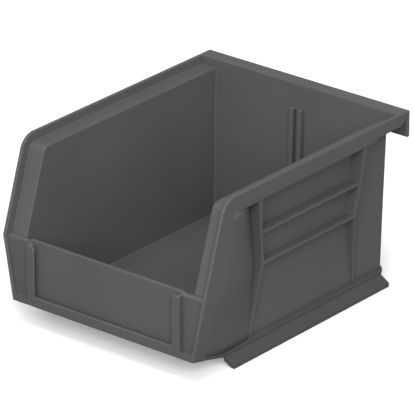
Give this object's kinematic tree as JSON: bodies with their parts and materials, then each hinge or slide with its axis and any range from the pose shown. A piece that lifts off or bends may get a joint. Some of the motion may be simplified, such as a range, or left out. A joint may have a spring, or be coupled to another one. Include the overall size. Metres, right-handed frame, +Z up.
{
  "type": "stackable storage bin",
  "caption": "Small open-front hang-and-stack storage bin in dark grey plastic, with ribbed sides, stacking ledges inside a raised rim, flared feet, a card frame and a rear hanger.",
  "frame": {"origin": "on the resting plane of the foot rails, under the middle of the bounding box", "axes": "+X to the bin's right, +Y towards the hanger at the back, +Z up"},
  "size_m": [0.1048, 0.132, 0.076],
  "materials": {
    "grey_polypropylene": "satin moulded polypropylene with a fine grain"
  },
  "bodies": {
    "root": {"card_ledge": "grey_polypropylene", "floor_front_ramp": "grey_polypropylene", "floor_panel": "grey_polypropylene", "front_bottom_band": "grey_polypropylene", "front_left_divider_rib": "grey_polypropylene", "front_right_divider_rib": "grey_polypropylene", "front_top_edge": "grey_polypropylene", "front_wall": "grey_polypropylene", "hanger_flange": "grey_polypropylene", "hanger_top_plate": "grey_polypropylene", "left_base_strip": "grey_polypropylene", "left_foot_rail": "grey_polypropylene", "left_front_column": "grey_polypropylene", "left_front_flare": "grey_polypropylene", "left_front_rib": "grey_polypropylene", "left_hanger_gusset": "grey_polypropylene", "left_label_bar": "grey_polypropylene", "left_lower_cross_rib": "grey_polypropylene", "left_rear_rib": "grey_polypropylene", "left_rim_lip": "grey_polypropylene", "left_side_wall": "grey_polypropylene", "left_stacking_ledge": "grey_polypropylene", "left_upper_cross_rib": "grey_polypropylene", "rear_left_divider_rib": "grey_polypropylene", "rear_right_divider_rib": "grey_polypropylene", "rear_top_shoulder": "grey_polypropylene", "rear_wall": "grey_polypropylene", "right_base_strip": "grey_polypropylene", "right_foot_rail": "grey_polypropylene", "right_front_column": "grey_polypropylene", "right_front_flare": "grey_polypropylene", "right_front_rib": "grey_polypropylene", "right_hanger_gusset": "grey_polypropylene", "right_label_bar": "grey_polypropylene", "right_lower_cross_rib": "grey_polypropylene", "right_rear_rib": "grey_polypropylene", "right_rim_lip": "grey_polypropylene", "right_side_wall": "grey_polypropylene", "right_stacking_ledge": "grey_polypropylene", "right_upper_cross_rib": "grey_polypropylene"}
  },
  "joints": []
}
